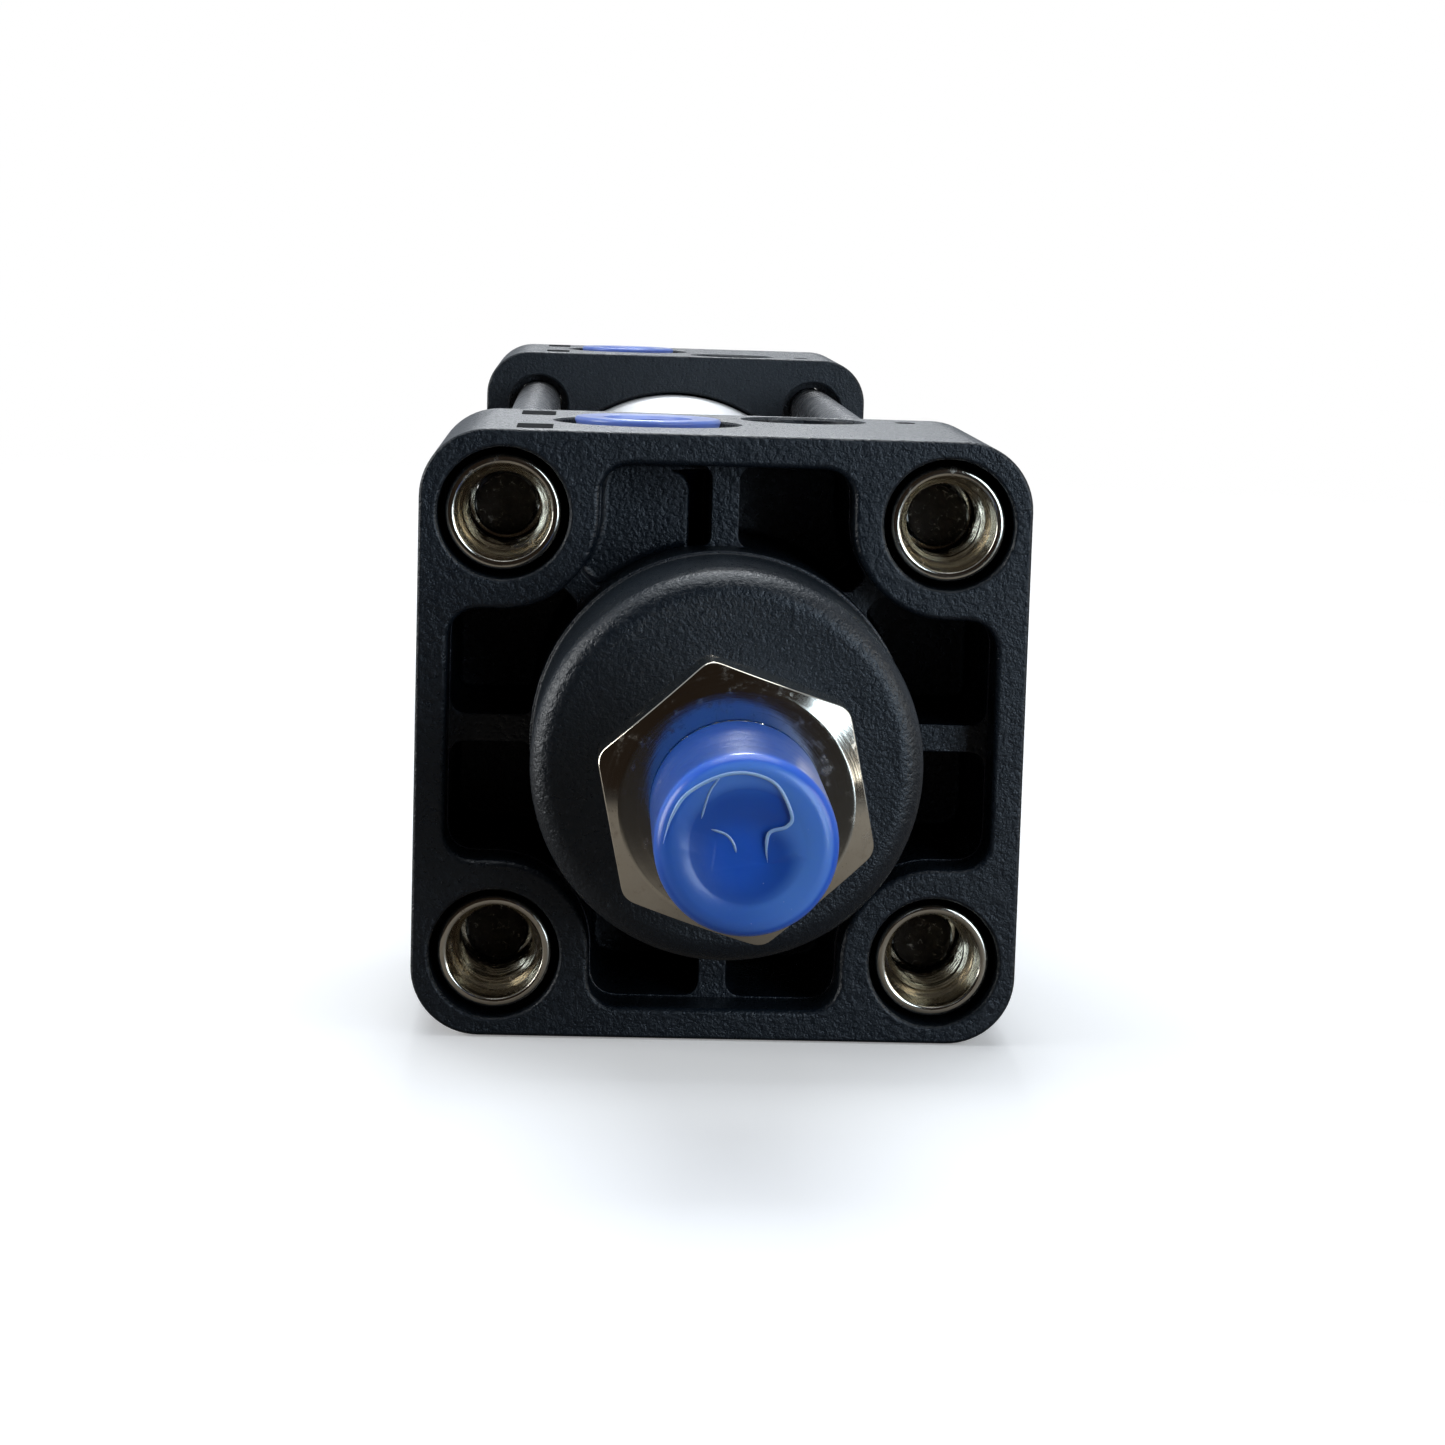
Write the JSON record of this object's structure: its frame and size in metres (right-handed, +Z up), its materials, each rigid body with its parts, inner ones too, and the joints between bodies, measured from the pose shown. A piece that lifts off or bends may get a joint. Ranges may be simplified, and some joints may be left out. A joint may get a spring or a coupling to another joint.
{
  "type": "pneumatic cylinder",
  "caption": "Double-acting tie-rod air cylinder with square cast caps, round barrel, threaded piston rod with lock nut, and plugged top ports.",
  "frame": {"origin": "middle of the whole object's length and width, on the plane the two caps rest on", "axes": "+Y runs along the cylinder from the rod end to the closed end, +Z is up towards the ports, +X is to the right when looking at the rod end"},
  "size_m": [0.0454, 0.253, 0.0458],
  "materials": {
    "cap_paint": "fine-grained satin near-black paint on die-cast aluminium",
    "barrel_anodised": "smooth clear-anodised tube with fine drawing lines",
    "tie_rod_zinc": "zinc-plated steel, satin",
    "screw_zinc": "plated steel screw",
    "nickel": "bright nickel plating with a warm tint",
    "rod_chrome": "hard-chromed and ground",
    "blue_cap": "soft translucent blue plastic, satin",
    "blue_plug": "blue plastic, satin",
    "seal_rubber": "black nitrile rubber",
    "bronze": "sintered bronze",
    "piston_alloy": "turned aluminium",
    "magnet": "plastic-bonded magnet",
    "wear_polymer": "unfilled bearing polymer"
  },
  "bodies": {
    "cylinder": {"front_cap": "cap_paint", "rear_cap": "cap_paint", "barrel_tube": "barrel_anodised", "barrel_gasket_front": "seal_rubber", "barrel_gasket_rear": "seal_rubber", "rod_bush": "bronze", "rod_seal": "seal_rubber", "rod_wiper": "seal_rubber", "cushion_seal_front": "seal_rubber", "cushion_seal_rear": "seal_rubber", "tie_rod_top_left": "tie_rod_zinc", "tie_rod_top_right": "tie_rod_zinc", "tie_rod_bottom_left": "tie_rod_zinc", "tie_rod_bottom_right": "tie_rod_zinc", "tie_nut_front_top_left": "nickel", "tie_nut_front_top_right": "nickel", "tie_nut_front_bottom_left": "nickel", "tie_nut_front_bottom_right": "nickel", "tie_nut_rear_top_left": "nickel", "tie_nut_rear_top_right": "nickel", "tie_nut_rear_bottom_left": "nickel", "tie_nut_rear_bottom_right": "nickel"},
    "piston_seals": {"wear_ring": "wear_polymer", "piston_seal_front": "seal_rubber", "piston_seal_rear": "seal_rubber"},
    "rod": {"piston_rod": "rod_chrome", "piston_front_half": "piston_alloy", "piston_rear_half": "piston_alloy", "magnet_ring": "magnet", "piston_oring": "seal_rubber", "cushion_sleeve_front": "piston_alloy", "cushion_sleeve_rear": "piston_alloy", "piston_nut": "tie_rod_zinc"},
    "rod_nut": {"rod_nut": "nickel"},
    "thread_cap": {"rod_thread_cap": "blue_cap"},
    "port_plug_front": {"port_plug_front": "blue_plug"},
    "port_plug_rear": {"port_plug_rear": "blue_plug"},
    "cushion_screw_front": {"cushion_screw_front": "screw_zinc", "cushion_oring_front": "seal_rubber"},
    "cushion_screw_rear": {"cushion_screw_rear": "screw_zinc", "cushion_oring_rear": "seal_rubber"}
  },
  "joints": [
    {"name": "rod_slide", "type": "slide", "parent": "cylinder", "child": "piston_seals", "axis": [0, -1, 0], "range_m": [0, 0.1]},
    {"name": "rod_turn", "type": "hinge", "parent": "piston_seals", "child": "rod", "pos_m": [0, 0, 0.0227], "axis": [0, 1, 0], "continuous": true},
    {"name": "rod_nut_turn", "type": "hinge", "parent": "rod", "child": "rod_nut", "pos_m": [0, -0.10715, 0.0227], "axis": [0, 1, 0], "continuous": true},
    {"name": "thread_cap_pull", "type": "slide", "parent": "rod", "child": "thread_cap", "axis": [0, -1, 0], "range_m": [0, 0.03]},
    {"name": "port_plug_front_pull", "type": "slide", "parent": "cylinder", "child": "port_plug_front", "axis": [0, 0, 1], "range_m": [0, 0.015]},
    {"name": "port_plug_rear_pull", "type": "slide", "parent": "cylinder", "child": "port_plug_rear", "axis": [0, 0, 1], "range_m": [0, 0.015]},
    {"name": "cushion_screw_front_turn", "type": "hinge", "parent": "cylinder", "child": "cushion_screw_front", "pos_m": [0.0068, -0.05365, 0.0424], "axis": [0, 0, 1], "range_deg": [-180, 720]},
    {"name": "cushion_screw_rear_turn", "type": "hinge", "parent": "cylinder", "child": "cushion_screw_rear", "pos_m": [0.0068, 0.10155, 0.0424], "axis": [0, 0, 1], "range_deg": [-180, 720]}
  ]
}
